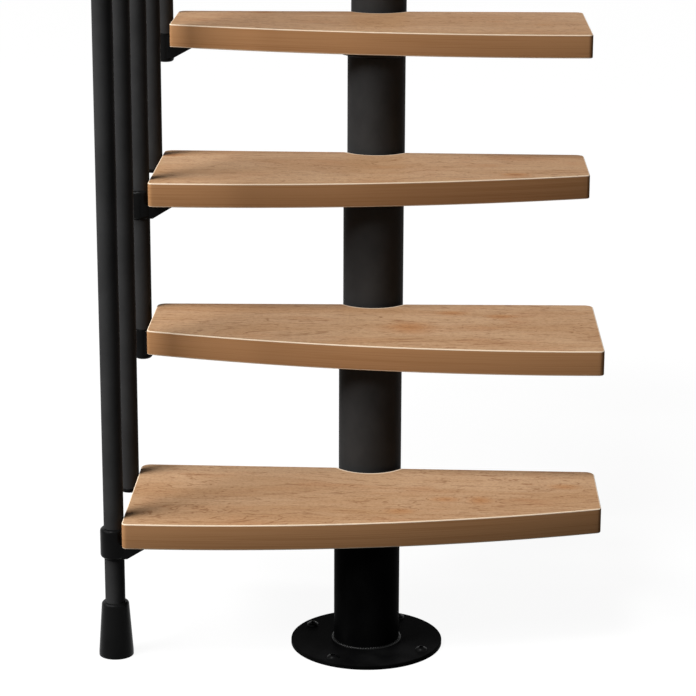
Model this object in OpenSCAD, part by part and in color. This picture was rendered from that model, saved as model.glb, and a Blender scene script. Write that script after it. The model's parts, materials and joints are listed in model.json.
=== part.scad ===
// Space-saver staircase: half-width treads that swap sides, on a spine of short round tubes,
// with a row of balusters and a handrail on one side.
// Frame: +Z up, +Y up the flight, +X to the right, origin on the floor at the first tube's axis.

/* [Flight] */
// Height from one tread to the next
rise = 190; // [175:1:225]
// Distance from one tube to the next, along the flight
going = 196; // [185:1:240]

/* [Treads] */
// Width of a tread, side to side
tread_w = 640; // [560:5:720]
// Thickness of a tread
tread_t = 35; // [28:1:40]
// Sideways shift of a tread towards its deep end
tread_shift = 3.5; // [0:0.5:8]
// How far the deep end reaches in front of the tube's axis
deep_reach = 88; // [72:1:105]
// How far the short end reaches in front of the tube's axis
short_reach = 1; // [0:1:20]
// Bow of the curved front edge
front_bow = 28; // [15:1:50]
// Distance from the back edge to the next tube's axis
back_gap = 30; // [18:1:38]
// How much further back the deep end runs than the short end
back_skew = 13; // [2:1:20]
// Rounding of the front corners, seen from above
front_corner_r = 7; // [5:0.5:12]
// Rounding of the back corners, seen from above
back_corner_r = 13; // [6:1:24]
// Softening of the top and bottom edges
tread_edge_r = 1.5; // [1:0.5:4]
// Clearance round the tube that stands in the notch
notch_gap = 9; // [3:0.5:12]

/* [Spine] */
// Outside diameter of the spine tubes
tube_d = 88.9; // [76.1:0.1:101.6]
// Wall of the spine tubes
tube_wall = 3; // [2:0.5:5]
// Thickness of the carrier plate under a tread
plate_t = 6; // [4:0.5:8]
// How far the carrier plate reaches past the tube
plate_margin = 12; // [6:1:16]
// Width of the carrier's wings under a tread
wing_w = 300; // [200:5:360]
// Depth of the carrier's wings
wing_depth = 80; // [50:1:100]
// Width of the folded channel under the carrier
channel_w = 60; // [40:1:72]
// Height of the folded channel
channel_h = 22; // [14:1:26]
// Sheet thickness of the folded channel
channel_wall = 3; // [2:0.5:5]
// Height of the spigot inside the next tube
spigot_h = 40; // [20:1:60]
// Wall of the spigot
spigot_wall = 4; // [3:0.5:6]
// Gap between the spigot and the tube round it
spigot_clear = 0.3; // [0.2:0.1:0.6]

/* [Floor flange] */
// Diameter of the floor flange
flange_d = 206; // [196:1:240]
// Thickness of the floor flange
flange_t = 6; // [5:0.5:10]
// Softening of the flange's upper rim
flange_edge_r = 1.5; // [0.5:0.5:3]
// Diameter of the bolt circle
flange_pcd = 174; // [150:1:182]
// Diameter of a bolt hole
flange_hole_d = 11; // [9:0.5:14]
// Turn of the bolt circle in degrees
flange_turn = 60; // [0:1:89]

/* [Balusters] */
// Outside diameter of a baluster
bar_d = 26.9; // [21.3:0.1:30]
// Wall of a baluster
bar_wall = 2; // [1.5:0.5:3]
// Gap between a baluster and the side of a tread
bar_clear = 0.3; // [0.3:0.1:1]
// How far a front baluster stands in front of its tube's axis
front_bar_lead = 56; // [30:1:70]
// How far a back baluster stands behind its tube's axis
back_bar_lag = 132; // [110:1:145]
// Depth of a back baluster's end below its tread's top
back_bar_drop = 26; // [18:1:30]
// Height of the cap that closes a back baluster
bar_cap_h = 6; // [4:0.5:10]

/* [Clamps] */
// Diameter of the collar on a front baluster
collar_d = 37; // [34:0.5:42]
// Depth of the collar's upper rim below the tread's top
collar_top = 15; // [8:0.5:22]
// Depth of the collar's lower rim below the tread's top
collar_bottom = 56.5; // [52:0.5:70]
// Rounding of the collar's rims
collar_rim_r = 4.5; // [1:0.5:4.5]
// Gap between a collar, foot or plug and the baluster
fit_clear = 0.2; // [0.1:0.1:0.4]
// How far a collar's arm reaches under the tread
collar_arm_reach = 36; // [20:1:60]
// How far a socket's arm reaches under the tread
socket_arm_reach = 55; // [30:1:80]
// Width of a clamp's arm
arm_w = 26; // [16:1:26]
// Thickness of the arm at its tip
arm_tip_t = 2; // [1:0.5:4]
// Depth of a collar's arm below the tread, at the collar
collar_arm_drop = 21; // [12:1:22]
// Depth below the tread's top where a baluster meets its socket
socket_joint = 32; // [30:0.5:40]
// Depth of the socket's rounded end below the tread's top
socket_bottom = 78; // [74:0.5:96]
// Rounding of the socket's lower end
socket_end_r = 5; // [2:0.5:8]
// Depth of a socket's arm below the tread, at the stem
socket_arm_drop = 36; // [20:1:38]
// Length of the plugs that fill tube ends
plug_h = 20; // [12:1:40]
// Chamfer round a plug's cap where it meets its tube
joint_chamfer = 0.8; // [0.4:0.1:1.2]

/* [Foot] */
// Diameter of the baluster's foot at the floor
foot_d = 46.5; // [42:0.5:56]
// Diameter of the foot at its shoulder
foot_top_d = 37; // [36:0.5:41]
// Height of the foot
foot_h = 76; // [60:1:100]
// Height of the straight lip at the floor
foot_lip_h = 5; // [2:0.5:10]
// Thickness of the foot's floor
foot_floor_t = 6; // [3:0.5:12]
// Rounding of the foot's shoulder
foot_shoulder_r = 4; // [1:0.5:4.5]

/* [Handrail] */
// Diameter of the handrail
rail_d = 42.4; // [38:0.1:50]
// Wall of the handrail
rail_wall = 2; // [1.5:0.5:3]
// Height of the handrail's axis above the line of the treads
rail_height = 900; // [850:5:1000]
// How far the handrail runs past the end balusters
rail_over = 90; // [60:5:150]
// Length of the saddle between a baluster and the handrail
saddle_h = 8; // [4:1:20]
// Thickness of the caps on the handrail's ends
rail_cap_t = 5; // [4:0.5:8]
// Rounding of the caps on the handrail's ends
rail_cap_r = 3; // [1:0.5:3]

/* [Landing fixing] */
// Width of the plate that bolts to the landing
landing_w = 200; // [180:5:280]
// Height of the landing plate
landing_h = 110; // [90:5:150]
// Thickness of the landing plate
landing_t = 8; // [6:0.5:12]
// Gap between the last tread and the landing plate
landing_gap = 2; // [1:0.5:6]
// Distance between the bolt holes, side to side
landing_hole_x = 150; // [120:5:160]
// Distance between the bolt holes, up and down
landing_hole_z = 60; // [40:5:70]
// Diameter of the landing plate's bolt holes
landing_hole_d = 11; // [9:0.5:14]

/* [Hidden] */

// Finishes as they look on the object
black_steel = [0.07, 0.07, 0.07];
black_plastic = [0.04, 0.04, 0.04];
beech = [0.72, 0.57, 0.42];

tread_count = 6;
bar_count = 7;
$fn = 64;
// Points along each round stretch of a tread's outline; its front has as many as its back
corner_steps = 5;
notch_steps = 16;
front_steps = notch_steps + 2;
edge_steps = 2;
// One overrun for every cut that runs out of a piece
overrun = 2;
// Share of the baluster's radius where a collar opens towards the tread
collar_open_share = 0.7;

tube_r = tube_d / 2;
plate_r = tube_r + plate_margin;
bar_r = bar_d / 2;
bar_bore_r = bar_r - bar_wall;
collar_r = collar_d / 2;
rail_r = rail_d / 2;
rail_slope = atan(rise / going);

// A tread's outline is drawn with its deep end on the left, its tube's axis at [0, 0]
deep_x = -(tread_w / 2 + tread_shift);
short_x = tread_w / 2 - tread_shift;
back_y = going - back_gap;
skew_angle = atan(back_skew / tread_w);
deep_front = [deep_x, -deep_reach];
short_front = [short_x, -short_reach];
front_chord = short_front - deep_front;
front_r = pow(norm(front_chord), 2) / (8 * front_bow) + front_bow / 2;
front_middle = (short_front + deep_front) / 2;
front_normal = [-front_chord[1], front_chord[0]] / norm(front_chord);
front_centre = front_middle + front_normal * (front_r - front_bow);

bar_x = deep_x - bar_clear - bar_r;
landing_y = going * (tread_count - 1) + back_y + back_skew / 2 + landing_gap;

// Heights of the treads, and the places of the balusters
function tread_y(i) = going * (i - 1);
function tread_top(i) = flange_t + rise * i;
function tread_under(i) = tread_top(i) - tread_t;
function is_front_bar(k) = k % 2 == 1;
function bar_y(k) = is_front_bar(k) ? tread_y(k) - front_bar_lead : tread_y(k - 1) + back_bar_lag;
function bar_end(k) =
    k == 1 ? foot_floor_t
    : is_front_bar(k) ? tread_top(k - 1) - socket_joint
    : tread_top(k - 1) - back_bar_drop + bar_cap_h;
function rail_z(y) = tread_top(1) + rail_height + tan(rail_slope) * y;
function bar_top(k) = rail_z(bar_y(k)) - rail_r / cos(rail_slope) - bar_r * tan(rail_slope) - saddle_h;

// Points of an arc from angle a to angle b about a centre
function arc(c, r, a, b, steps) =
    [for (i = [0 : steps]) let (t = a + (b - a) * i / steps) c + r * [cos(t), sin(t)]];

// Rounded corner at p between the directions u and v that leave it
function corner(p, u, v, r) =
    let (
        half = acos(u * v) / 2,
        c = p + (u + v) / norm(u + v) * r / sin(half),
        from = p + u * r / tan(half) - c,
        to = p + v * r / tan(half) - c,
        a = atan2(from[1], from[0]),
        b = atan2(to[1], to[0]),
        turn = b - a > 180 ? b - a - 360 : b - a < -180 ? b - a + 360 : b - a
    )
    arc(c, r, a, a + turn, corner_steps);

// Front and back edges of a tread, drawn in by an inset
function front_at(x, inset) =
    front_centre[1] - sqrt(pow(front_r - inset, 2) - pow(x - front_centre[0], 2));
function back_at(x, inset) = back_y - inset - (x + tread_shift) * tan(skew_angle);
function front_tangent(p) =
    [front_centre[1] - p[1], p[0] - front_centre[0]] / norm(front_centre - p);
function front_angle(p) = atan2(p[1] - front_centre[1], p[0] - front_centre[0]);

// Notch in the back edge, concentric with the tube that stands in it
function notch(inset) =
    let (
        r = tube_r + notch_gap + inset,
        away = (going - back_at(0, inset)) * cos(skew_angle),
        half = acos(away / r),
        middle = 270 - skew_angle
    )
    arc([0, going], r, middle + half, middle - half, notch_steps);

// The same stretch of the back edge where no tube stands in it
function plain_back(inset) =
    [for (i = [0 : notch_steps]) let (x = tube_r - tube_d * i / notch_steps) [x, back_at(x, inset)]];

// Whole outline of a tread, anticlockwise from its deep front corner
function outline(inset, notched) =
    let (
        x0 = deep_x + inset,
        x1 = short_x - inset,
        p0 = [x0, front_at(x0, inset)],
        p1 = [x1, front_at(x1, inset)],
        p2 = [x1, back_at(x1, inset)],
        p3 = [x0, back_at(x0, inset)],
        edge = [-cos(skew_angle), sin(skew_angle)],
        front = arc(front_centre, front_r - inset, front_angle(p0), front_angle(p1), front_steps)
    )
    concat(
        corner(p0, [0, 1], front_tangent(p0), front_corner_r - inset),
        [for (i = [1 : front_steps - 1]) front[i]],
        corner(p1, -front_tangent(p1), [0, 1], front_corner_r - inset),
        corner(p2, [0, -1], edge, back_corner_r - inset),
        notched ? notch(inset) : plain_back(inset),
        corner(p3, -edge, [0, -1], back_corner_r - inset)
    );

// Triangles across an outline of n points, from its front edge to its back edge
function across(n) =
    [for (i = [0 : n / 2 - 2]) let (back = n - 2 - i) each [[i, i + 1, back], [i, back, back + 1]]];

// Solid through a stack of [inset, height] levels of that outline
module board(levels, notched) {
    rings = [for (l = levels) [for (p = outline(l[0], notched)) [p[0], p[1], l[1]]]];
    n = len(rings[0]);
    last = len(rings) - 1;
    sides = [
        for (r = [0 : last - 1], i = [0 : n - 1])
            let (a = r * n + i, b = r * n + (i + 1) % n)
            each [[a, a + n, b + n], [a, b + n, b]]
    ];
    under = across(n);
    upper = [for (t = under) [for (i = [2, 1, 0]) last * n + t[i]]];
    polyhedron(points = [for (ring = rings) each ring], faces = concat(sides, under, upper));
}

module tread(i) {
    step = 90 / edge_steps;
    lower = [
        for (j = [0 : edge_steps])
            [tread_edge_r * (1 - sin(j * step)), tread_edge_r * (1 - cos(j * step)) - tread_t]
    ];
    upper = [
        for (j = [0 : edge_steps])
            [tread_edge_r * (1 - cos(j * step)), -tread_edge_r * (1 - sin(j * step))]
    ];
    color(beech)
        translate([0, tread_y(i), tread_top(i)])
            mirror([i % 2 == 0 ? 1 : 0, 0, 0])
                board(concat(lower, upper), i < tread_count);
}

// Hollow round tube standing on z = 0
module pipe(r, wall, h) {
    difference() {
        cylinder(r = r, h = h);
        translate([0, 0, -overrun]) cylinder(r = r - wall, h = h + 2 * overrun);
    }
}

module base_flange() {
    rim = arc([flange_d / 2 - flange_edge_r, flange_t - flange_edge_r], flange_edge_r, 0, 90, corner_steps);
    color(black_steel)
        difference() {
            rotate_extrude() polygon(concat([[0, 0], [flange_d / 2, 0]], rim, [[0, flange_t]]));
            for (a = [0 : 90 : 270])
                rotate(flange_turn + a)
                    translate([flange_pcd / 2, 0, -overrun])
                        cylinder(d = flange_hole_d, h = flange_t + 2 * overrun);
        }
}

module spine_tube(i) {
    low = i == 1 ? flange_t : tread_under(i - 1);
    color(black_steel)
        translate([0, tread_y(i), low])
            pipe(tube_r, tube_wall, tread_under(i) - plate_t - low);
}

// Flat plate that carries a tread: wings under the board and a tongue towards the next tube
module carrier_plate(reach, rounded) {
    linear_extrude(plate_t)
        union() {
            circle(r = plate_r);
            translate([-wing_w / 2, tube_r - wing_depth / 2]) square([wing_w, wing_depth]);
            translate([-plate_r, 0]) square([2 * plate_r, reach]);
            if (rounded) translate([0, reach]) circle(r = plate_r);
        }
}

// Folded channel, open below, from the tube that carries it to the end of the tongue
module carrier_channel(reach) {
    difference() {
        translate([-channel_w / 2, 0, -channel_h]) cube([channel_w, reach, channel_h]);
        translate([channel_wall - channel_w / 2, -overrun, -channel_h - overrun])
            cube([channel_w - 2 * channel_wall, reach + 2 * overrun, channel_h - channel_wall + overrun]);
        translate([0, 0, -channel_h - overrun]) cylinder(r = tube_r, h = channel_h + 2 * overrun);
    }
}

module tread_carrier(i) {
    is_last = i == tread_count;
    reach = is_last ? landing_y - tread_y(i) : going;
    color(black_steel)
        translate([0, tread_y(i), tread_under(i) - plate_t]) {
            carrier_plate(reach, !is_last);
            carrier_channel(is_last ? reach : reach + tube_r);
            if (!is_last)
                translate([0, going, plate_t])
                    pipe(tube_r - tube_wall - spigot_clear, spigot_wall, spigot_h);
        }
}

module landing_plate() {
    color(black_steel)
        difference() {
            translate([-landing_w / 2, landing_y, tread_under(tread_count) - landing_h])
                cube([landing_w, landing_t, landing_h]);
            for (x = [-1, 1], z = [-1, 1])
                translate([
                    x * landing_hole_x / 2,
                    landing_y - overrun,
                    tread_under(tread_count) - landing_h / 2 + z * landing_hole_z / 2
                ])
                    rotate([-90, 0, 0]) cylinder(d = landing_hole_d, h = landing_t + 2 * overrun);
        }
}

module baluster(k) {
    color(black_steel)
        translate([bar_x, bar_y(k), bar_end(k)])
            pipe(bar_r, bar_wall, bar_top(k) - bar_end(k));
}

// Tapered foot with a rounded shoulder, hollow for the first baluster
module baluster_foot() {
    shoulder = arc(
        [foot_top_d / 2 - foot_shoulder_r, foot_h - foot_shoulder_r], foot_shoulder_r, 0, 90, corner_steps
    );
    profile = concat(
        [[0, 0], [foot_d / 2, 0], [foot_d / 2, foot_lip_h]],
        shoulder,
        [[bar_r + fit_clear, foot_h], [bar_r + fit_clear, foot_floor_t], [0, foot_floor_t]]
    );
    color(black_plastic) translate([bar_x, bar_y(1), 0]) rotate_extrude() polygon(profile);
}

// Plug inside a tube with a rounded cap on its end; the cap hangs below z = 0
module end_plug(r, bore_r, cap_h, cap_r) {
    rounding = arc([r - cap_r, cap_r - cap_h], cap_r, -90, 0, corner_steps);
    plug_r = bore_r - fit_clear;
    rotate_extrude()
        polygon(concat(
            [[0, -cap_h]],
            rounding,
            [[r, -joint_chamfer], [r - joint_chamfer, 0], [plug_r, 0], [plug_r, plug_h], [0, plug_h]]
        ));
}

module baluster_end_caps() {
    color(black_plastic)
        for (k = [2 : 2 : bar_count])
            translate([bar_x, bar_y(k), bar_end(k)]) end_plug(bar_r, bar_bore_r, bar_cap_h, bar_wall);
}

// Wedge under a tread, from the baluster's axis to a thin tip
module clamp_arm(root, tip, drop) {
    translate([0, arm_w / 2, -tread_t])
        rotate([90, 0, 0])
            linear_extrude(arm_w)
                polygon([[0, 0], [tip, 0], [tip, -arm_tip_t], [root, -drop], [0, -drop]]);
}

// Collar that a front baluster passes through, open towards the side of its tread
module front_clamp(i) {
    low = arc([collar_r - collar_rim_r, collar_rim_r - collar_bottom], collar_rim_r, -90, 0, corner_steps);
    high = arc([collar_r - collar_rim_r, -collar_top - collar_rim_r], collar_rim_r, 0, 90, corner_steps);
    color(black_plastic)
        translate([bar_x, bar_y(i), tread_top(i)])
            difference() {
                union() {
                    rotate_extrude()
                        polygon(concat([[0, -collar_bottom]], low, high, [[0, -collar_top]]));
                    clamp_arm(collar_r, deep_x + collar_arm_reach - bar_x, collar_arm_drop);
                }
                translate([0, 0, -collar_bottom - overrun])
                    cylinder(r = bar_r + fit_clear, h = collar_bottom + overrun);
                translate([bar_r * collar_open_share, -collar_d / 2, -tread_t])
                    cube([collar_d, collar_d, tread_t]);
            }
}

// Rounded stem that closes a baluster which starts beside a short tread end
module end_socket(i) {
    color(black_plastic)
        translate([bar_x, bar_y(i + 1), tread_top(i)]) {
            translate([0, 0, -socket_joint])
                end_plug(bar_r, bar_bore_r, socket_bottom - socket_joint, socket_end_r);
            difference() {
                clamp_arm(bar_r, socket_arm_reach - short_x - bar_x, socket_arm_drop);
                translate([0, 0, -socket_joint])
                    cylinder(r = bar_r, h = socket_joint);
            }
        }
}

// Coped saddles between the balusters and the handrail
module rail_saddles() {
    color(black_steel)
        for (k = [1 : bar_count])
            difference() {
                translate([bar_x, bar_y(k), bar_top(k)])
                    cylinder(r = bar_r, h = rail_z(bar_y(k)) - bar_top(k));
                along_rail(bar_y(k))
                    translate([0, 0, -rail_d]) cylinder(r = rail_r + fit_clear, h = 2 * rail_d);
            }
}

// Places children on the handrail's axis at y, with their z along the rail
module along_rail(y) {
    translate([bar_x, y, rail_z(y)]) rotate([rail_slope - 90, 0, 0]) children();
}

rail_start_y = bar_y(1) - rail_over;
rail_end_y = bar_y(bar_count) + rail_over;

module handrail() {
    color(black_steel)
        along_rail(rail_start_y)
            pipe(rail_r, rail_wall, (rail_end_y - rail_start_y) / cos(rail_slope));
}

module handrail_caps() {
    color(black_plastic) {
        along_rail(rail_start_y) end_plug(rail_r, rail_r - rail_wall, rail_cap_t, rail_cap_r);
        along_rail(rail_end_y)
            rotate([180, 0, 0]) end_plug(rail_r, rail_r - rail_wall, rail_cap_t, rail_cap_r);
    }
}

base_flange();
spine_tube(1);  // spine_tube_1
spine_tube(2);  // spine_tube_2
spine_tube(3);  // spine_tube_3
spine_tube(4);  // spine_tube_4
spine_tube(5);  // spine_tube_5
spine_tube(6);  // spine_tube_6
tread_carrier(1);  // tread_carrier_1
tread_carrier(2);  // tread_carrier_2
tread_carrier(3);  // tread_carrier_3
tread_carrier(4);  // tread_carrier_4
tread_carrier(5);  // tread_carrier_5
tread_carrier(6);  // tread_carrier_6
landing_plate();
tread(1);  // tread_1
tread(2);  // tread_2
tread(3);  // tread_3
tread(4);  // tread_4
tread(5);  // tread_5
tread(6);  // tread_6
baluster_foot();
baluster(1);  // baluster_1
baluster(2);  // baluster_2
baluster(3);  // baluster_3
baluster(4);  // baluster_4
baluster(5);  // baluster_5
baluster(6);  // baluster_6
baluster(7);  // baluster_7
baluster_end_caps();
front_clamp(1);  // front_clamp_1
front_clamp(3);  // front_clamp_3
front_clamp(5);  // front_clamp_5
end_socket(2);  // end_socket_2
end_socket(4);  // end_socket_4
end_socket(6);  // end_socket_6
rail_saddles();
handrail();
handrail_caps();
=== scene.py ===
# %% [markdown]
# # A space-saver staircase
# Wooden treads that are deep on one side and short on the other climb a spine of short black tubes.
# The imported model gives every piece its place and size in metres. This script gives the pieces their
# finishes, makes finer boards, adds the small hardware, and sets up the light and the camera.

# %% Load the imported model
import json
import math

import bmesh
import bpy
from mathutils import Euler, Matrix, Vector


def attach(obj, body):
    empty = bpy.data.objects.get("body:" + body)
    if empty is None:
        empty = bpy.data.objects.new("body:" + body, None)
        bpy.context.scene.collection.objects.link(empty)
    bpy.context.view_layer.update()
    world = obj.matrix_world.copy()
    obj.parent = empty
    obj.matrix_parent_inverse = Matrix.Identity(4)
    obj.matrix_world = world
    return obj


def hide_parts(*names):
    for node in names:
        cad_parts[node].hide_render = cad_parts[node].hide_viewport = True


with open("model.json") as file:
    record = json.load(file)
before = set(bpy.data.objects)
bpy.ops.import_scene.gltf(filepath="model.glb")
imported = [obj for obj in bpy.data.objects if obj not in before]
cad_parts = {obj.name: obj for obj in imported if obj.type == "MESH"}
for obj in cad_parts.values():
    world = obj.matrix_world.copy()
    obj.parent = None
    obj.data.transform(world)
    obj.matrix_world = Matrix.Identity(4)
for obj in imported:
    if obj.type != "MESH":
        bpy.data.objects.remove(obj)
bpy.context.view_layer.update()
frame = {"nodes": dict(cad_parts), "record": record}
nodes = frame["nodes"]
scene = bpy.context.scene

# %% [markdown]
# ## Camera
# The view is from the front, a little above the steps and a long way back, so the treads stack up the
# picture with little perspective. A long lens on a plain camera gives that, with no shift.

# %% Camera
IMAGE_PX = 696
SENSOR_MM = 36.0
FOCAL_PX = 2481.05
CAMERA_AT = (0.0608, -3.1837, 1.2807)
CAMERA_PITCH = math.radians(15.176)
CAMERA_TURN = math.radians(1.568)
CAMERA_ROLL = math.radians(0.17)

camera_data = bpy.data.cameras.new("camera")
camera_data.sensor_width = SENSOR_MM
camera_data.lens = FOCAL_PX * SENSOR_MM / IMAGE_PX
camera = bpy.data.objects.new("camera", camera_data)
camera.location = CAMERA_AT
level = Euler((math.pi / 2 - CAMERA_PITCH, 0, CAMERA_TURN)).to_matrix()
camera.rotation_euler = (level @ Matrix.Rotation(CAMERA_ROLL, 3, "Z")).to_euler()
scene.collection.objects.link(camera)
scene.camera = camera
scene.view_settings.view_transform = "Standard"
print("lens in mm:", round(camera_data.lens, 1))

# %% [markdown]
# ## Node helpers
# Every finish and every Geometry Nodes tree below is written with three short helpers: one adds a node
# with its settings and values, one joins outputs to inputs, and one does a sum with a Math node.


# %% Node helpers
def add(tree, kind, values=None, **settings):
    """A node of that kind, with its settings and the values of its inputs."""
    made = tree.nodes.new(kind)
    for name, value in settings.items():
        setattr(made, name, value)
    for name, value in (values or {}).items():
        made.inputs[name].default_value = value
    return made


def join(tree, *pairs):
    """Links each (output, input) pair."""
    for source, target in pairs:
        tree.links.new(source, target)


def maths(tree, operation, *operands):
    """The output of a Math node; each operand is a number or another node's output."""
    made = add(tree, "ShaderNodeMath", operation=operation)
    for socket, operand in zip(made.inputs, operands):
        if isinstance(operand, (int, float)):
            socket.default_value = operand
        else:
            join(tree, (operand, socket))
    return made.outputs[0]


print("node helpers:", add.__name__, join.__name__, maths.__name__)

# %% [markdown]
# ## Floor and background
# The studio is white, and the floor runs far behind the stair, so it fills the picture. The camera and
# the reflections see it nearly white through Light Path, while only the rest of its brightness comes
# from the lamps. So the stair keeps a faint shadow, and the white adds no light to the stair.

# %% Floor
FLOOR_HALF = 60.0
FLOOR_GLOW = 0.94
FLOOR_SEEN = 0.09
FLOOR_BOUNCE = 0.10


def grey(value):
    """A neutral colour of one brightness."""
    return (value, value, value, 1)


def seen_directly(tree):
    """1 for rays from the camera, a reflection or a clear surface, and 0 for diffuse light."""
    path = add(tree, "ShaderNodeLightPath").outputs
    seen = maths(tree, "MAXIMUM", path["Is Camera Ray"], path["Is Glossy Ray"])
    return maths(tree, "MAXIMUM", seen, path["Is Transmission Ray"])


floor_paint = bpy.data.materials.new("studio_floor")
floor_paint.use_nodes = True
tree = floor_paint.node_tree
tree.nodes.clear()
output = add(tree, "ShaderNodeOutputMaterial")
glow = add(tree, "ShaderNodeEmission", {"Color": grey(1), "Strength": FLOOR_GLOW})
lit = add(tree, "ShaderNodeBsdfDiffuse", {"Color": grey(FLOOR_SEEN)})
bounce = add(tree, "ShaderNodeBsdfDiffuse", {"Color": grey(FLOOR_BOUNCE)})
both = add(tree, "ShaderNodeAddShader")
choose = add(tree, "ShaderNodeMixShader")
join(
    tree,
    (glow.outputs[0], both.inputs[0]),
    (lit.outputs[0], both.inputs[1]),
    (seen_directly(tree), choose.inputs[0]),
    (bounce.outputs[0], choose.inputs[1]),
    (both.outputs[0], choose.inputs[2]),
    (choose.outputs[0], output.inputs["Surface"]),
)

floor_mesh = bpy.data.meshes.new("floor")
corners = [(x * FLOOR_HALF, y * FLOOR_HALF, 0) for x, y in ((-1, -1), (1, -1), (1, 1), (-1, 1))]
floor_mesh.from_pydata(corners, [], [(0, 1, 2, 3)])
floor_mesh.materials.append(floor_paint)
floor = bpy.data.objects.new("floor", floor_mesh)
scene.collection.objects.link(floor)
print("floor half width in m:", FLOOR_HALF)

# %% World
SKY_FILL = 0.05

world = bpy.data.worlds.new("studio")
world.use_nodes = True
scene.world = world
tree = world.node_tree
tree.nodes.clear()
output = add(tree, "ShaderNodeOutputWorld")
white = add(tree, "ShaderNodeBackground", {"Color": grey(1), "Strength": 1.0})
fill = add(tree, "ShaderNodeBackground", {"Color": grey(1), "Strength": SKY_FILL})
choose = add(tree, "ShaderNodeMixShader")
join(
    tree,
    (seen_directly(tree), choose.inputs[0]),
    (fill.outputs[0], choose.inputs[1]),
    (white.outputs[0], choose.inputs[2]),
    (choose.outputs[0], output.inputs["Surface"]),
)
print("sky fill:", SKY_FILL)

# %% [markdown]
# ## Light
# A key light comes from high up at the front left, so the balusters throw soft shadows on the left ends of
# the treads. A wide softbox, lower and further to the left, lights one side of each tube and leaves the
# other side dark. Each tread shades the head of the tube under it, and the front of a board fades where it
# turns away from the softbox.

# %% Lamps
AIM = Vector((0.0, 0.4, 0.45))
KEY_FROM = (-48, 69)
KEY_AWAY = 4.0
KEY_STRENGTH = 1.62
KEY_ANGLE = 17
SIDE_FROM = (-62, 36)
SIDE_AWAY = 5.2
SIDE_SIZE = (3.4, 1.3)
SIDE_WATTS = 295


def towards(azimuth, elevation):
    """Unit vector from the stair to a lamp; azimuth 0 is straight in front, negative to the left."""
    a = math.radians(azimuth)
    e = math.radians(elevation)
    return Vector((math.sin(a) * math.cos(e), -math.cos(a) * math.cos(e), math.sin(e)))


def hang(data, away, direction):
    """Puts a lamp at a distance from the stair in one direction, turned to face the stair."""
    lamp = bpy.data.objects.new(data.name, data)
    lamp.location = AIM + away * direction
    lamp.rotation_euler = direction.to_track_quat("Z", "Y").to_euler()
    scene.collection.objects.link(lamp)


key = bpy.data.lights.new("key", "SUN")
key.energy = KEY_STRENGTH
key.angle = math.radians(KEY_ANGLE)
hang(key, KEY_AWAY, towards(*KEY_FROM))
softbox = bpy.data.lights.new("side_softbox", "AREA")
softbox.shape = "RECTANGLE"
softbox.size, softbox.size_y = SIDE_SIZE
softbox.energy = SIDE_WATTS
hang(softbox, SIDE_AWAY, towards(*SIDE_FROM))
print("lamps:", len(bpy.data.lights))

# %% [markdown]
# ## Finish: lacquered beech
# The treads are pale brown wood under a clear lacquer, with broad soft figure, thin wavy lines that swirl
# round small knots, fine streaks along the board and many short dark flecks. A picture of wood would
# stretch on the edges and repeat from tread to tread, so noise makes the marks. All of it reads Object
# coordinates, so every board cuts a different slice of the same timber.


# %% Helpers for finishes
def stretched(tree, coords, sizes):
    """Object coordinates divided by a feature's size along X, Y and Z, in metres."""
    mapping = add(tree, "ShaderNodeMapping", {"Scale": tuple(1 / s for s in sizes)})
    join(tree, (coords, mapping.inputs["Vector"]))
    return mapping.outputs["Vector"]


def noise(tree, coords, sizes, detail=2.0, distortion=0.0, roughness=0.55):
    """Noise with features about as large as the sizes along X, Y and Z, in metres."""
    made = add(
        tree,
        "ShaderNodeTexNoise",
        {"Scale": 1.0, "Detail": detail, "Roughness": roughness, "Distortion": distortion},
    )
    join(tree, (stretched(tree, coords, sizes), made.inputs["Vector"]))
    return made.outputs["Fac"]


def ramp(tree, value, low, high):
    """Smooth step of a value from 0 at low to 1 at high."""
    limits = {"From Min": low, "From Max": high}
    made = add(tree, "ShaderNodeMapRange", limits, interpolation_type="SMOOTHSTEP")
    join(tree, (value, made.inputs["Value"]))
    return made.outputs["Result"]


def blend(tree, amount, first, second, strength=1.0):
    """Mixes two colours; each is a colour or another node's output."""
    made = add(tree, "ShaderNodeMix", data_type="RGBA")
    join(tree, (maths(tree, "MULTIPLY", amount, strength), made.inputs["Factor"]))
    for colour, name in ((first, "A"), (second, "B")):
        target = next(s for s in made.inputs if s.name == name and s.type == "RGBA")
        if isinstance(colour, tuple):
            target.default_value = colour
        else:
            join(tree, (colour, target))
    return next(s for s in made.outputs if s.type == "RGBA")


def new_finish(name):
    """A material with only a Principled shader, and its tree, shader and Object coordinates."""
    made = bpy.data.materials.new(name)
    made.use_nodes = True
    tree = made.node_tree
    coords = add(tree, "ShaderNodeTexCoord").outputs["Object"]
    return made, tree, tree.nodes["Principled BSDF"], coords


def set_surface(tree, shader, tone, mask, rough):
    """Gives a shader its colour, and a roughness that runs over a range with one mask."""
    spread = add(tree, "ShaderNodeMapRange", {"To Min": rough[0], "To Max": rough[1]})
    join(
        tree,
        (tone, shader.inputs["Base Color"]),
        (mask, spread.inputs["Value"]),
        (spread.outputs["Result"], shader.inputs["Roughness"]),
    )


def set_bump(tree, shader, height, strength, depth):
    """Gives a shader a fine relief from one mask, its depth in metres."""
    bump = add(tree, "ShaderNodeBump", {"Strength": strength, "Distance": depth})
    join(tree, (height, bump.inputs["Height"]), (bump.outputs["Normal"], shader.inputs["Normal"]))


print("helpers for masks:", stretched.__name__, noise.__name__, ramp.__name__)

# %% [markdown]
# The wavy lines are contour lines: a slow noise is folded many times, and the folds touch zero along thin
# curves. Near a knot that noise is raised, so the lines close round it. Knots lie in the cells of a Voronoi
# pattern, and two burrs have a set place. A finer noise breaks the lines up.

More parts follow.
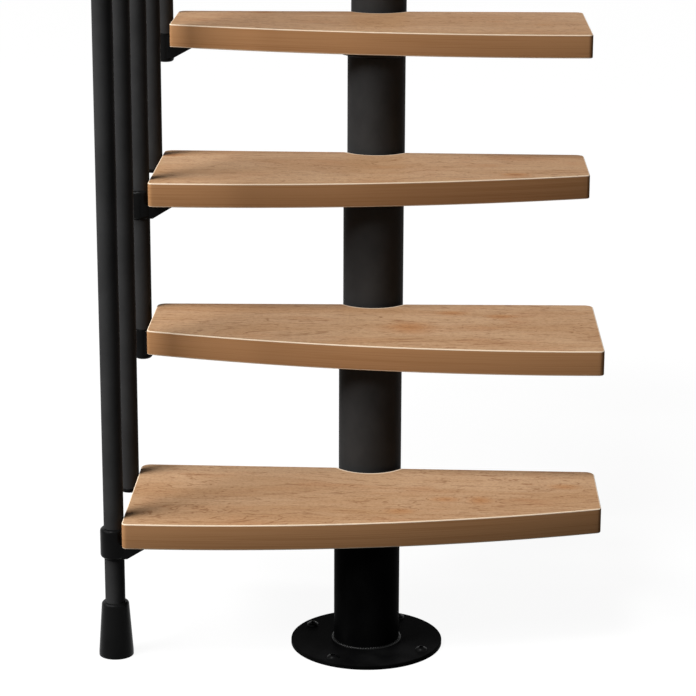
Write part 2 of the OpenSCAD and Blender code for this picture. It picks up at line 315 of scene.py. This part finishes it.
# %% Marks in the beech
KNOT_CELL = (0.17, 0.095, 0.19)
KNOT_LIFT = 0.16
BURRS = [((0.057, 0.229, 0.386), 0.050), ((0.153, 0.028, 0.196), 0.026)]
BURR_DEPTH = 0.9
LINE_COUNT = 13
LINE_WIDTH = 0.11
SQUIGGLE_COUNT = 4
SQUIGGLE_WIDTH = 0.07


def contours(tree, value, count, width):
    """Thin lines along the even levels of a slow noise; they fade at a width counted in levels."""
    folds = maths(tree, "PINGPONG", maths(tree, "MULTIPLY", value, count), 0.5)
    return ramp(tree, folds, width, 0.0)


beech, tree, shader, coords = new_finish("lacquered_beech")
figure = noise(tree, coords, (0.34, 0.085, 0.21), detail=5.0, distortion=0.5, roughness=0.62)
clouds = noise(tree, coords, (0.11, 0.05, 0.2), distortion=0.4)
streaks = noise(tree, coords, (0.13, 0.0028, 0.003), detail=3.0, distortion=0.2)
flecks = noise(tree, coords, (0.010, 0.0034, 0.004), detail=1.0, distortion=0.3)
grit = noise(tree, coords, (0.0042, 0.0046, 0.004), detail=1.0)
breaks = noise(tree, coords, (0.030, 0.012, 0.02))
ripples = noise(tree, coords, (0.11, 0.022, 0.06), detail=4.0, distortion=0.4, roughness=0.6)
side_lines = noise(tree, coords, (0.24, 0.24, 0.0012), detail=3.0)

cells = add(tree, "ShaderNodeTexVoronoi", {"Scale": 1.0}, feature="F1")
join(tree, (stretched(tree, coords, KNOT_CELL), cells.inputs["Vector"]))
knots = ramp(tree, cells.outputs["Distance"], 0.20, 0.02)
for place, size in BURRS:
    apart = add(tree, "ShaderNodeVectorMath", {1: place}, operation="DISTANCE")
    join(tree, (coords, apart.inputs[0]))
    burr = maths(tree, "MULTIPLY", ramp(tree, apart.outputs["Value"], size, 0.0), BURR_DEPTH)
    knots = maths(tree, "MAXIMUM", knots, burr)

growth = maths(tree, "ADD", figure, maths(tree, "MULTIPLY", knots, KNOT_LIFT))
lines = contours(tree, growth, LINE_COUNT, LINE_WIDTH)
lines = maths(tree, "MULTIPLY", lines, ramp(tree, breaks, 0.30, 0.52))
squiggles = contours(tree, ripples, SQUIGGLE_COUNT, SQUIGGLE_WIDTH)
squiggles = maths(tree, "MULTIPLY", squiggles, ramp(tree, breaks, 0.60, 0.42))
print("nodes for the marks:", len(tree.nodes))

# %% [markdown]
# The marks are laid over one another from the broadest to the finest. The sides of a board show long fine
# lines instead. Its rounded edges are painted paler as a highlight, and so is a narrow rim on top round its
# cut-out, a painted highlight where that rim catches the light. The boards carry three attributes that say
# where: side, edge, and from_notch, the way from the middle of the cut-out. A mesh without the last one
# reads 0 there, so the rim begins well outside 0.

# %% Colour and gloss of the beech
BEECH_PALE = (0.512, 0.326, 0.190, 1)
BEECH_MID = (0.442, 0.258, 0.135, 1)
BEECH_RED = (0.420, 0.202, 0.095, 1)
BEECH_BURR = (0.420, 0.180, 0.062, 1)
BEECH_DARK = (0.190, 0.076, 0.027, 1)
BEECH_SIDE = (0.430, 0.222, 0.100, 1)
BEECH_SIDE_LINE = (0.372, 0.182, 0.077, 1)
# Painted highlight: a pale cream laid on the rounded edges and on the rim round the cut-out.
BEECH_EDGE_HIGHLIGHT = (0.92, 0.76, 0.58, 1)
EDGE_HIGHLIGHT_STRENGTH = 0.80
TUBE_R = 0.04445
NOTCH_GAP = 0.009
NOTCH_R = TUBE_R + NOTCH_GAP
RIM_W = 0.0045
RIM_FULL = 0.7
RIM_START = (0.8 * NOTCH_R, 0.9 * NOTCH_R)

colour = blend(tree, ramp(tree, figure, 0.36, 0.64), BEECH_MID, BEECH_PALE)
for mask, tint, strength in (
    (ramp(tree, clouds, 0.50, 0.76), BEECH_RED, 0.40),
    (knots, BEECH_BURR, 0.75),
    (lines, BEECH_DARK, 0.60),
    (squiggles, BEECH_DARK, 0.36),
    (ramp(tree, knots, 0.80, 1.0), BEECH_DARK, 0.40),
    (ramp(tree, streaks, 0.46, 0.74), BEECH_DARK, 0.19),
    (ramp(tree, flecks, 0.62, 0.67), BEECH_DARK, 0.22),
    (ramp(tree, grit, 0.42, 0.66), BEECH_DARK, 0.16),
):
    colour = blend(tree, mask, colour, tint, strength)

side = add(tree, "ShaderNodeAttribute", attribute_name="side").outputs["Fac"]
edge = add(tree, "ShaderNodeAttribute", attribute_name="edge").outputs["Fac"]
from_notch = add(tree, "ShaderNodeAttribute", attribute_name="from_notch").outputs["Vector"]
length = add(tree, "ShaderNodeVectorMath", operation="LENGTH")
join(tree, (from_notch, length.inputs[0]))
reach = length.outputs["Value"]
# Painted highlight: a pale band on top round the cut-out, where its rim catches the light.
near = ramp(tree, reach, NOTCH_R + RIM_W, NOTCH_R + RIM_FULL * RIM_W)
notch_rim_highlight = maths(tree, "MULTIPLY", near, ramp(tree, reach, *RIM_START))
side_colour = blend(tree, ramp(tree, side_lines, 0.46, 0.70), BEECH_SIDE, BEECH_SIDE_LINE)
colour = blend(tree, notch_rim_highlight, colour, BEECH_EDGE_HIGHLIGHT, EDGE_HIGHLIGHT_STRENGTH)
colour = blend(tree, side, colour, side_colour)
# Painted highlight on the rounded edges of the board.
colour = blend(tree, edge, colour, BEECH_EDGE_HIGHLIGHT, EDGE_HIGHLIGHT_STRENGTH)

set_surface(tree, shader, colour, figure, rough=(0.46, 0.56))
set_bump(tree, shader, streaks, strength=0.12, depth=0.0004)
shader.inputs["Specular IOR Level"].default_value = 0.010
print("finish:", beech.name)

# %% [markdown]
# ## Finishes: black coats, black plastic and zinc
# The tubes and balusters are satin black powder coat: very dark, with the faint orange peel of baked powder
# in its reflection. The flange and the first tube are one welded piece; they get a blacker copy of the
# coat, painted shade for the shadow that the first tread casts on them. The clamps, sockets, caps and foot
# are black moulded plastic, a little smoother, the floor bolts are blackened, and the paint on the welds
# shines
# most. One function makes them all: it gives each a slight cloudiness in tone and gloss, so no surface is
# one flat black. The screws under the boards are bare zinc.

# %% Black finishes
JET = (0.0025, 0.0025, 0.0026, 1)
SOOT = (0.0055, 0.0055, 0.0056, 1)
COAL = (0.033, 0.033, 0.0335, 1)
SLATE = (0.041, 0.041, 0.0415, 1)
CLOUD_SIZE = (0.04, 0.04, 0.06)
CLOUD_RANGE = (0.3, 0.7)
PEEL_STRENGTH = 0.15


def black_finish(name, dark, light, rough, specular, peel_size, peel_depth):
    """A black coat with cloudy tone and gloss and a fine surface peel."""
    made, tree, shader, coords = new_finish(name)
    clouds = noise(tree, coords, CLOUD_SIZE, detail=3.0)
    peel = noise(tree, coords, (peel_size,) * 3, detail=1.0)
    tone = blend(tree, ramp(tree, clouds, *CLOUD_RANGE), dark, light)
    set_surface(tree, shader, tone, clouds, rough)
    set_bump(tree, shader, peel, PEEL_STRENGTH, peel_depth)
    shader.inputs["Specular IOR Level"].default_value = specular
    return made


powder_coat = black_finish("black_powder_coat", COAL, SLATE, (0.44, 0.52), 0.008, 0.0022, 0.0001)
# A blacker, duller copy of the powder coat: painted shade for the flange and the first tube.
painted_shade_coat = black_finish("base_powder_coat", JET, SOOT, (0.40, 0.50), 0.002, 0.0022, 0.0001)
plastic = black_finish("black_moulded_plastic", JET, SOOT, (0.28, 0.36), 0.05, 0.0012, 0.0001)
bolt_black = black_finish("blackened_bolt", JET, SOOT, (0.26, 0.38), 0.05, 0.0008, 0.00005)
weld_coat = black_finish("painted_weld", JET, SOOT, (0.16, 0.26), 0.12, 0.0008, 0.00005)
print("finishes:", [f.name for f in (powder_coat, painted_shade_coat, plastic, bolt_black, weld_coat)])

# %% Zinc
ZINC_DULL = (0.50, 0.51, 0.53, 1)
ZINC_BRIGHT = (0.66, 0.67, 0.68, 1)
SPANGLE = 0.002

zinc, tree, shader, coords = new_finish("zinc_screw")
spangle = noise(tree, coords, (SPANGLE,) * 3)
tone = blend(tree, ramp(tree, spangle, *CLOUD_RANGE), ZINC_DULL, ZINC_BRIGHT)
set_surface(tree, shader, tone, spangle, rough=(0.28, 0.42))
shader.inputs["Metallic"].default_value = 1.0
print("finish:", zinc.name)

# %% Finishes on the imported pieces
slot_finish = {"black_steel": powder_coat, "black_plastic": plastic, "beech": beech}
for part in frame["record"]["subparts"]:
    mesh = nodes[part["node"]].data
    mesh.materials.clear()
    mesh.materials.append(slot_finish[part["material_slot"]])
# The flange and the first tube take the blacker copy: painted shade under the first tread.
for name in ("base_flange", "spine_tube_1"):
    nodes[name].data.materials[0] = painted_shade_coat

# %% [markdown]
# ## Tread boards
# Each tread is a solid board. Seen from above, its front edge is one shallow arc from the deep end to the
# short end, its sides are straight, and its back edge is cut out round the next tube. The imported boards
# have only a coarse edge, so finer ones take their place: the outline is worked out here as a closed loop,
# and a Geometry Nodes tree sweeps a rounded edge profile along it and closes the top and the underside.


# %% Arcs and rounded corners
CORNER_STEPS = 8


def arc_points(centre, radius, start, turn, steps):
    """Points of an arc about a centre, with angles in radians."""
    angles = [start + turn * i / steps for i in range(steps + 1)]
    return [centre + radius * Vector((math.cos(a), math.sin(a))) for a in angles]


def rounded(points, radii):
    """A closed loop of points with an arc in place of each corner that has a radius."""
    loop = []
    for i, corner in enumerate(points):
        radius = radii.get(i)
        if not radius:
            loop.append(corner)
            continue
        before = (points[i - 1] - corner).normalized()
        after = (points[(i + 1) % len(points)] - corner).normalized()
        half = before.angle(after) / 2
        centre = corner + (before + after).normalized() * radius / math.sin(half)
        start = corner + before * radius / math.tan(half) - centre
        end = corner + after * radius / math.tan(half) - centre
        turn = math.atan2(start.cross(end), start.dot(end))
        loop += arc_points(centre, radius, math.atan2(start.y, start.x), turn, CORNER_STEPS)
    return loop


print("points round a corner:", CORNER_STEPS + 1)

# %% Outline of a board
GOING = 0.196
TREAD_W = 0.640
TREAD_SHIFT = 0.0035
DEEP_REACH = 0.088
SHORT_REACH = 0.001
FRONT_BOW = 0.028
BACK_GAP = 0.030
BACK_SKEW = 0.013
FRONT_CORNER_R = 0.007
BACK_CORNER_R = 0.013
NOTCH_CORNER_R = 0.002
FRONT_STEPS = 56
NOTCH_STEPS = 28


def board_outline(notched):
    """Anticlockwise loop of a board whose deep end is on the left, its tube's axis at the origin."""
    left = -(TREAD_W / 2 + TREAD_SHIFT)
    right = TREAD_W / 2 - TREAD_SHIFT
    deep_front = Vector((left, -DEEP_REACH))
    short_front = Vector((right, -SHORT_REACH))
    chord = short_front - deep_front
    normal = Vector((-chord.y, chord.x)).normalized()
    radius = chord.length**2 / (8 * FRONT_BOW) + FRONT_BOW / 2
    centre = (deep_front + short_front) / 2 + normal * (radius - FRONT_BOW)
    start = deep_front - centre
    turn = math.atan2(start.cross(short_front - centre), start.dot(short_front - centre))
    front = arc_points(centre, radius, math.atan2(start.y, start.x), turn, FRONT_STEPS)

    skew = math.atan(BACK_SKEW / TREAD_W)
    middle = GOING - BACK_GAP
    back = [Vector((x, middle - (x + TREAD_SHIFT) * math.tan(skew))) for x in (right, left)]
    points = front + [back[0]]
    radii = {0: FRONT_CORNER_R, len(front) - 1: FRONT_CORNER_R, len(front): BACK_CORNER_R}
    if notched:
        away = (GOING - middle + TREAD_SHIFT * math.tan(skew)) * math.cos(skew)
        half = math.acos(away / NOTCH_R)
        down = math.radians(270) - skew
        notch = arc_points(Vector((0, GOING)), NOTCH_R, down + half, -2 * half, NOTCH_STEPS)
        radii |= {len(points): NOTCH_CORNER_R, len(points) + len(notch) - 1: NOTCH_CORNER_R}
        points += notch
    radii[len(points)] = BACK_CORNER_R
    return rounded(points + [back[1]], radii)


print("points in a notched outline:", len(board_outline(True)))

# %% [markdown]
# The tree takes the loop as its geometry. A short line of points, bent by its index into two quarter
# rounds with a straight side between them, is the profile, and Curve to Mesh sweeps it along the loop.

# %% Tree that makes a board: the swept edge
ROUND_STEPS = 5


def new_tree(name, inputs):
    """A Geometry Nodes tree with geometry in and out and named inputs, as (name, type) pairs."""
    made = bpy.data.node_groups.new(name, "GeometryNodeTree")
    made.interface.new_socket("Geometry", in_out="INPUT", socket_type="NodeSocketGeometry")
    for label, kind in inputs:
        made.interface.new_socket(label, in_out="INPUT", socket_type=kind)
    made.interface.new_socket("Geometry", in_out="OUTPUT", socket_type="NodeSocketGeometry")
    return made, add(made, "NodeGroupInput"), add(made, "NodeGroupOutput")


board_tree, given, result = new_tree(
    "tread_board",
    [
        ("Thickness", "NodeSocketFloat"),
        ("Edge radius", "NodeSocketFloat"),
        ("Place", "NodeSocketVector"),
        ("Notch", "NodeSocketVector"),
        ("Finish", "NodeSocketMaterial"),
    ],
)
tree = board_tree
radius = given.outputs["Edge radius"]
half_thickness = maths(tree, "MULTIPLY", given.outputs["Thickness"], 0.5)
half_side = maths(tree, "SUBTRACT", half_thickness, radius)

index = add(tree, "GeometryNodeInputIndex").outputs[0]
is_upper = maths(tree, "GREATER_THAN", index, ROUND_STEPS + 0.5)
step = maths(tree, "SUBTRACT", index, is_upper)
angle = maths(tree, "MULTIPLY_ADD", step, math.pi / 2 / ROUND_STEPS, -math.pi / 2)
across = maths(tree, "MULTIPLY", maths(tree, "COSINE", angle), radius)
along = maths(tree, "MULTIPLY", maths(tree, "SINE", angle), radius)
side_sign = maths(tree, "MULTIPLY_ADD", is_upper, 2.0, -1.0)
inward = maths(tree, "SUBTRACT", across, radius)
height = maths(tree, "ADD", maths(tree, "MULTIPLY", side_sign, half_side), along)
profile_point = add(tree, "ShaderNodeCombineXYZ")
line = add(tree, "GeometryNodeCurvePrimitiveLine")
sampled = add(tree, "GeometryNodeResampleCurve", {"Count": 2 * ROUND_STEPS + 2}, mode="COUNT")
profile = add(tree, "GeometryNodeSetPosition")
path = add(tree, "GeometryNodeMeshToCurve")
upright = add(tree, "GeometryNodeSetCurveNormal", mode="Z_UP")
sweep = add(tree, "GeometryNodeCurveToMesh")
join(
    tree,
    (inward, profile_point.inputs["X"]),
    (height, profile_point.inputs["Y"]),
    (line.outputs[0], sampled.inputs["Curve"]),
    (sampled.outputs[0], profile.inputs["Geometry"]),
    (profile_point.outputs[0], profile.inputs["Position"]),
    (given.outputs["Geometry"], path.inputs["Mesh"]),
    (path.outputs[0], upright.inputs["Curve"]),
    (upright.outputs[0], sweep.inputs["Curve"]),
    (profile.outputs[0], sweep.inputs["Profile Curve"]),
)
print("points in the edge profile:", 2 * ROUND_STEPS + 2)

# %% [markdown]
# The sweep leaves the top and the underside open. Fill Curve closes the loop on top, a copy of that face
# turned over closes the underside, and Merge by Distance joins them to the edge.

# %% Tree that makes a board: top and underside
MERGE_GAP = 2e-5

neighbours = add(tree, "GeometryNodeInputMeshEdgeNeighbors").outputs["Face Count"]
position = add(tree, "ShaderNodeSeparateXYZ")
join(tree, (add(tree, "GeometryNodeInputPosition").outputs[0], position.inputs[0]))
is_open = maths(tree, "COMPARE", neighbours, 1.0, 0.1)
is_rim = maths(tree, "MULTIPLY", is_open, maths(tree, "GREATER_THAN", position.outputs["Z"], 0.0))
rim = add(tree, "GeometryNodeMeshToCurve")
face = add(tree, "GeometryNodeFillCurve")
top = add(tree, "GeometryNodeTransform")
under = add(tree, "GeometryNodeTransform")
turned = add(tree, "GeometryNodeFlipFaces")
up = add(tree, "ShaderNodeCombineXYZ")
down = add(tree, "ShaderNodeCombineXYZ")
shell = add(tree, "GeometryNodeJoinGeometry")
closed = add(tree, "GeometryNodeMergeByDistance", {"Distance": MERGE_GAP})
join(
    tree,
    (sweep.outputs[0], rim.inputs["Mesh"]),
    (is_rim, rim.inputs["Selection"]),
    (rim.outputs[0], face.inputs["Curve"]),
    (half_thickness, up.inputs["Z"]),
    (maths(tree, "MULTIPLY", half_thickness, -1.0), down.inputs["Z"]),
    (face.outputs[0], top.inputs["Geometry"]),
    (up.outputs[0], top.inputs["Translation"]),
    (face.outputs[0], turned.inputs["Mesh"]),
    (turned.outputs[0], under.inputs["Geometry"]),
    (down.outputs[0], under.inputs["Translation"]),
    (sweep.outputs[0], shell.inputs[0]),
    (top.outputs[0], shell.inputs[0]),
    (under.outputs[0], shell.inputs[0]),
    (shell.outputs[0], closed.inputs["Geometry"]),
)
print("nodes in the board tree so far:", len(tree.nodes))

# %% [markdown]
# The beech has to know where it is on the board, so the tree stores the three attributes that it reads. A
# face that lies flat is top or underside, an upright one is a side, and what is between them is an edge.
# Then the board goes to its place and gets its finish.

# %% Tree that makes a board: attributes, place and finish
FLAT_FROM = 0.9999
UPRIGHT_BELOW = 0.02
STORE = "GeometryNodeStoreNamedAttribute"

normal = add(tree, "ShaderNodeSeparateXYZ")
join(tree, (add(tree, "GeometryNodeInputNormal").outputs[0], normal.inputs[0]))
flatness = maths(tree, "ABSOLUTE", normal.outputs["Z"])
is_flat = maths(tree, "GREATER_THAN", flatness, FLAT_FROM)
is_side = maths(tree, "LESS_THAN", flatness, UPRIGHT_BELOW)
is_edge = maths(tree, "SUBTRACT", maths(tree, "GREATER_THAN", flatness, UPRIGHT_BELOW), is_flat)
smooth = add(tree, "GeometryNodeSetShadeSmooth", domain="FACE")
edges = add(tree, STORE, {"Name": "edge"}, data_type="FLOAT", domain="FACE")
sides = add(tree, STORE, {"Name": "side"}, data_type="FLOAT", domain="FACE")
reaches = add(tree, STORE, {"Name": "from_notch"}, data_type="FLOAT_VECTOR", domain="POINT")
level_point = add(tree, "ShaderNodeCombineXYZ")
way = add(tree, "ShaderNodeVectorMath", operation="SUBTRACT")
placed = add(tree, "GeometryNodeTransform")
real = add(tree, "GeometryNodeRealizeInstances")
painted = add(tree, "GeometryNodeSetMaterial")
join(
    tree,
    (closed.outputs[0], smooth.inputs["Geometry"]),
    (maths(tree, "SUBTRACT", 1.0, is_flat), smooth.inputs["Shade Smooth"]),
    (smooth.outputs[0], edges.inputs["Geometry"]),
    (is_edge, edges.inputs["Value"]),
    (edges.outputs[0], sides.inputs["Geometry"]),
    (is_side, sides.inputs["Value"]),
    (sides.outputs[0], reaches.inputs["Geometry"]),
    (position.outputs["X"], level_point.inputs["X"]),
    (position.outputs["Y"], level_point.inputs["Y"]),
    (level_point.outputs[0], way.inputs[0]),
    (given.outputs["Notch"], way.inputs[1]),
    (way.outputs[0], reaches.inputs["Value"]),
    (reaches.outputs[0], placed.inputs["Geometry"]),
    (given.outputs["Place"], placed.inputs["Translation"]),
    (placed.outputs[0], real.inputs["Geometry"]),
    (real.outputs[0], painted.inputs["Geometry"]),
    (given.outputs["Finish"], painted.inputs["Material"]),
    (painted.outputs[0], result.inputs["Geometry"]),
)
print("nodes in the board tree:", len(tree.nodes))

# %% [markdown]
# Each board is the tree's result, kept as a plain mesh. The treads take turns: every second outline is
# mirrored, so its deep end is on the right. The last board has no tube above it and so no cut-out, and a
# cut-out set far away keeps the painted highlight rim off it.

# %% Boards
TREAD_COUNT = 6
RISE = 0.190
FLANGE_T = 0.006
TREAD_T = 0.035
EDGE_R = 0.0015
NO_NOTCH = 10.0


def tread_y(i):
    """Where tread i's tube stands along the flight."""
    return GOING * (i - 1)


def tread_top(i):
    """Height of tread i's top."""
    return FLANGE_T + RISE * i


def grow(name, base, tree, values):
    """Runs a tree on a base mesh with its named inputs and returns the plain result as an object."""
    carrier = bpy.data.objects.new(name + "_base", base)
    scene.collection.objects.link(carrier)
    modifier = carrier.modifiers.new("nodes", "NODES")
    modifier.node_group = tree
    for item in tree.interface.items_tree:
        if item.in_out == "INPUT" and item.name in values:
            modifier[item.identifier] = values[item.name]
    depsgraph = bpy.context.evaluated_depsgraph_get()
    mesh = bpy.data.meshes.new_from_object(carrier.evaluated_get(depsgraph), depsgraph=depsgraph)
    carrier.modifiers.remove(modifier)
    bpy.data.objects.remove(carrier)
    mesh.name = name
    grown = bpy.data.objects.new(name, mesh)
    scene.collection.objects.link(grown)
    return grown


def loop_mesh(name, points):
    """A closed loop of edges through flat points."""
    made = bpy.data.meshes.new(name)
    count = len(points)
    made.from_pydata([(p.x, p.y, 0) for p in points], [(i, (i + 1) % count) for i in range(count)], [])
    return made


for i in range(1, TREAD_COUNT + 1):
    notched = i < TREAD_COUNT
    loop = board_outline(notched)
    if i % 2 == 0:
        loop = [Vector((-p.x, p.y)) for p in reversed(loop)]
    board = grow(
        f"board_{i}",
        loop_mesh(f"outline_{i}", loop),
        board_tree,
        {
            "Thickness": TREAD_T,
            "Edge radius": EDGE_R,
            "Place": (0, tread_y(i), tread_top(i) - TREAD_T / 2),
            "Notch": (0, GOING if notched else NO_NOTCH, 0),
            "Finish": beech,
        },
    )
    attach(board, "root")
    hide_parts(f"tread_{i}")
    print(board.name, "faces:", len(board.data.polygons), "size:", [round(v, 4) for v in board.dimensions])

# %% [markdown]
# ## Bolts and screws
# Four low button-head bolts hold the flange to the floor, and round-head screws hold the boards to their
# carriers. Each kind is one small head, turned from a profile with a recess for the key, and a Geometry
# Nodes tree puts a copy on every point of a list, turned as the point's attribute says.

# %% One head
DOME_ANGLES = (0, 25, 50, 72)
FLAT_SHARE = 0.18


def turned_head(name, width, height, key_width, key_depth, sides, segments):
    """A domed head on z = 0 with a polygonal key recess, as an object to be copied."""
    angles = [2 * math.pi * i / segments for i in range(segments)]
    step = 2 * math.pi / sides
    key_edge = [key_width / 2 / math.cos((t + step / 2) % step - step / 2) for t in angles]
    rings = []
    for a in map(math.radians, DOME_ANGLES):
        radius = width / 2 * (FLAT_SHARE + (1 - FLAT_SHARE) * math.cos(a))
        rings.append(([radius] * segments, height * math.sin(a)))
    rings += [(key_edge, height), (key_edge, height - key_depth)]

    head = bmesh.new()
    made = []
    for radii, z in rings:
        made.append([head.verts.new((r * math.cos(t), r * math.sin(t), z)) for r, t in zip(radii, angles)])
    for low, high in zip(made, made[1:]):
        for i in range(segments):
            j = (i + 1) % segments
            head.faces.new((low[i], low[j], high[j], high[i]))
    head.faces.new(list(reversed(made[0])))
    head.faces.new(made[-1])
    mesh = bpy.data.meshes.new(name)
    head.to_mesh(mesh)
    head.free()
    template = bpy.data.objects.new(name, mesh)
    scene.collection.objects.link(template)
    return template


print("rings in a head:", len(DOME_ANGLES) + 2)

# %% Tree that sets heads on points
heads_tree, given, result = new_tree(
    "heads_on_points", [("Head", "NodeSocketObject"), ("Finish", "NodeSocketMaterial")]
)
tree = heads_tree
head = add(tree, "GeometryNodeObjectInfo")
turn = add(tree, "GeometryNodeInputNamedAttribute", {"Name": "turn"}, data_type="FLOAT_VECTOR")
copies = add(tree, "GeometryNodeInstanceOnPoints")
real = add(tree, "GeometryNodeRealizeInstances")
painted = add(tree, "GeometryNodeSetMaterial")
join(
    tree,
    (given.outputs["Head"], head.inputs["Object"]),
    (given.outputs["Geometry"], copies.inputs["Points"]),
    (head.outputs["Geometry"], copies.inputs["Instance"]),
    (turn.outputs["Attribute"], copies.inputs["Rotation"]),
    (copies.outputs[0], real.inputs["Geometry"]),
    (real.outputs[0], painted.inputs["Geometry"]),
    (given.outputs["Finish"], painted.inputs["Material"]),
    (painted.outputs[0], result.inputs["Geometry"]),
)


def set_heads(name, head, finish, places):
    """Copies of a head at (place, direction) pairs, as one piece of the stair."""
    points = bpy.data.meshes.new(name + "_points")
    points.from_pydata([place for place, _ in places], [], [])
    turns = points.attributes.new("turn", "FLOAT_VECTOR", "POINT")
    for i, (_, direction) in enumerate(places):
        turns.data[i].vector = Vector(direction).to_track_quat("Z", "Y").to_euler()
    piece = grow(name, points, heads_tree, {"Head": head, "Finish": finish})
    bpy.data.objects.remove(head)
    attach(piece, "root")
    print(piece.name, "heads:", len(places), "faces:", len(piece.data.polygons))


print("nodes in the heads tree:", len(tree.nodes))

# %% Floor bolts
FLANGE_PCD = 0.174
FLANGE_TURN = 60
UP = (0, 0, 1)

bolt_places = []
for quarter in (0, 90, 180, 270):
    a = math.radians(FLANGE_TURN + quarter)
    bolt_places.append(((FLANGE_PCD / 2 * math.cos(a), FLANGE_PCD / 2 * math.sin(a), FLANGE_T), UP))
bolt_head = turned_head(
    "bolt_head", width=0.0165, height=0.0042, key_width=0.006, key_depth=0.0026, sides=6, segments=36
)
set_heads("floor_bolts", bolt_head, bolt_black, bolt_places)

# %% Screws under the boards
PLATE_T = 0.006
SCREW_X = 0.125
SCREW_Y = 0.022
DOWN = (0, 0, -1)

screw_places = []
for i in range(1, TREAD_COUNT + 1):
    under_plate = tread_top(i) - TREAD_T - PLATE_T
    for x in (-SCREW_X, SCREW_X):
        for y in (-SCREW_Y, SCREW_Y):
            screw_places.append(((x, tread_y(i) + TUBE_R + y, under_plate), DOWN))
screw_head = turned_head(
    "screw_head", width=0.009, height=0.003, key_width=0.0042, key_depth=0.0016, sides=4, segments=16
)
set_heads("tread_screws", screw_head, zinc, screw_places)

# %% [markdown]
# ## Welds
# The first tube is welded to its flange, and each tube's head to the carrier above it. A weld is a rounded
# bead with small even ripples, so a tree sweeps a small circle round a ring, pushes the surface in and out
# along its normal by the angle round the ring, and sets that ring on every joint.

# %% Tree that makes the weld beads
RING_STEPS = 320
BEAD_STEPS = 10

weld_tree, given, result = new_tree(
    "weld_beads",
    [
        ("Ring radius", "NodeSocketFloat"),
        ("Bead radius", "NodeSocketFloat"),
        ("Ripples", "NodeSocketFloat"),
        ("Ripple depth", "NodeSocketFloat"),
        ("Finish", "NodeSocketMaterial"),
    ],
)
tree = weld_tree
ring = add(tree, "GeometryNodeCurvePrimitiveCircle", {"Resolution": RING_STEPS})
bead = add(tree, "GeometryNodeCurvePrimitiveCircle", {"Resolution": BEAD_STEPS})
swept = add(tree, "GeometryNodeCurveToMesh")
where = add(tree, "ShaderNodeSeparateXYZ")
ripple = add(tree, "GeometryNodeSetPosition")
push = add(tree, "ShaderNodeVectorMath", operation="SCALE")
soft = add(tree, "GeometryNodeSetShadeSmooth")
copies = add(tree, "GeometryNodeInstanceOnPoints")
real = add(tree, "GeometryNodeRealizeInstances")
painted = add(tree, "GeometryNodeSetMaterial")
round_angle = maths(tree, "ARCTAN2", where.outputs["Y"], where.outputs["X"])
wave = maths(tree, "SINE", maths(tree, "MULTIPLY", round_angle, given.outputs["Ripples"]))
join(
    tree,
    (given.outputs["Ring radius"], ring.inputs["Radius"]),
    (given.outputs["Bead radius"], bead.inputs["Radius"]),
    (ring.outputs[0], swept.inputs["Curve"]),
    (bead.outputs[0], swept.inputs["Profile Curve"]),
    (add(tree, "GeometryNodeInputPosition").outputs[0], where.inputs[0]),
    (add(tree, "GeometryNodeInputNormal").outputs[0], push.inputs["Vector"]),
    (maths(tree, "MULTIPLY", wave, given.outputs["Ripple depth"]), push.inputs["Scale"]),
    (swept.outputs[0], ripple.inputs["Geometry"]),
    (push.outputs[0], ripple.inputs["Offset"]),
    (ripple.outputs[0], soft.inputs["Geometry"]),
    (given.outputs["Geometry"], copies.inputs["Points"]),
    (soft.outputs[0], copies.inputs["Instance"]),
    (copies.outputs[0], real.inputs["Geometry"]),
    (real.outputs[0], painted.inputs["Geometry"]),
    (given.outputs["Finish"], painted.inputs["Material"]),
    (painted.outputs[0], result.inputs["Geometry"]),
)
print("nodes in the weld tree:", len(tree.nodes))

# %% Weld beads
joint_places = [(0, 0, FLANGE_T)]
joint_places += [(0, tread_y(i), tread_top(i) - TREAD_T - PLATE_T) for i in range(1, TREAD_COUNT + 1)]
joints = bpy.data.meshes.new("weld_points")
joints.from_pydata(joint_places, [], [])
welds = grow(
    "weld_beads",
    joints,
    weld_tree,
    {
        "Ring radius": TUBE_R,
        "Bead radius": 0.0032,
        "Ripples": 84.0,
        "Ripple depth": 0.00035,
        "Finish": weld_coat,
    },
)
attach(welds, "root")
print(welds.name, "rings:", len(joint_places), "faces:", len(welds.data.polygons))
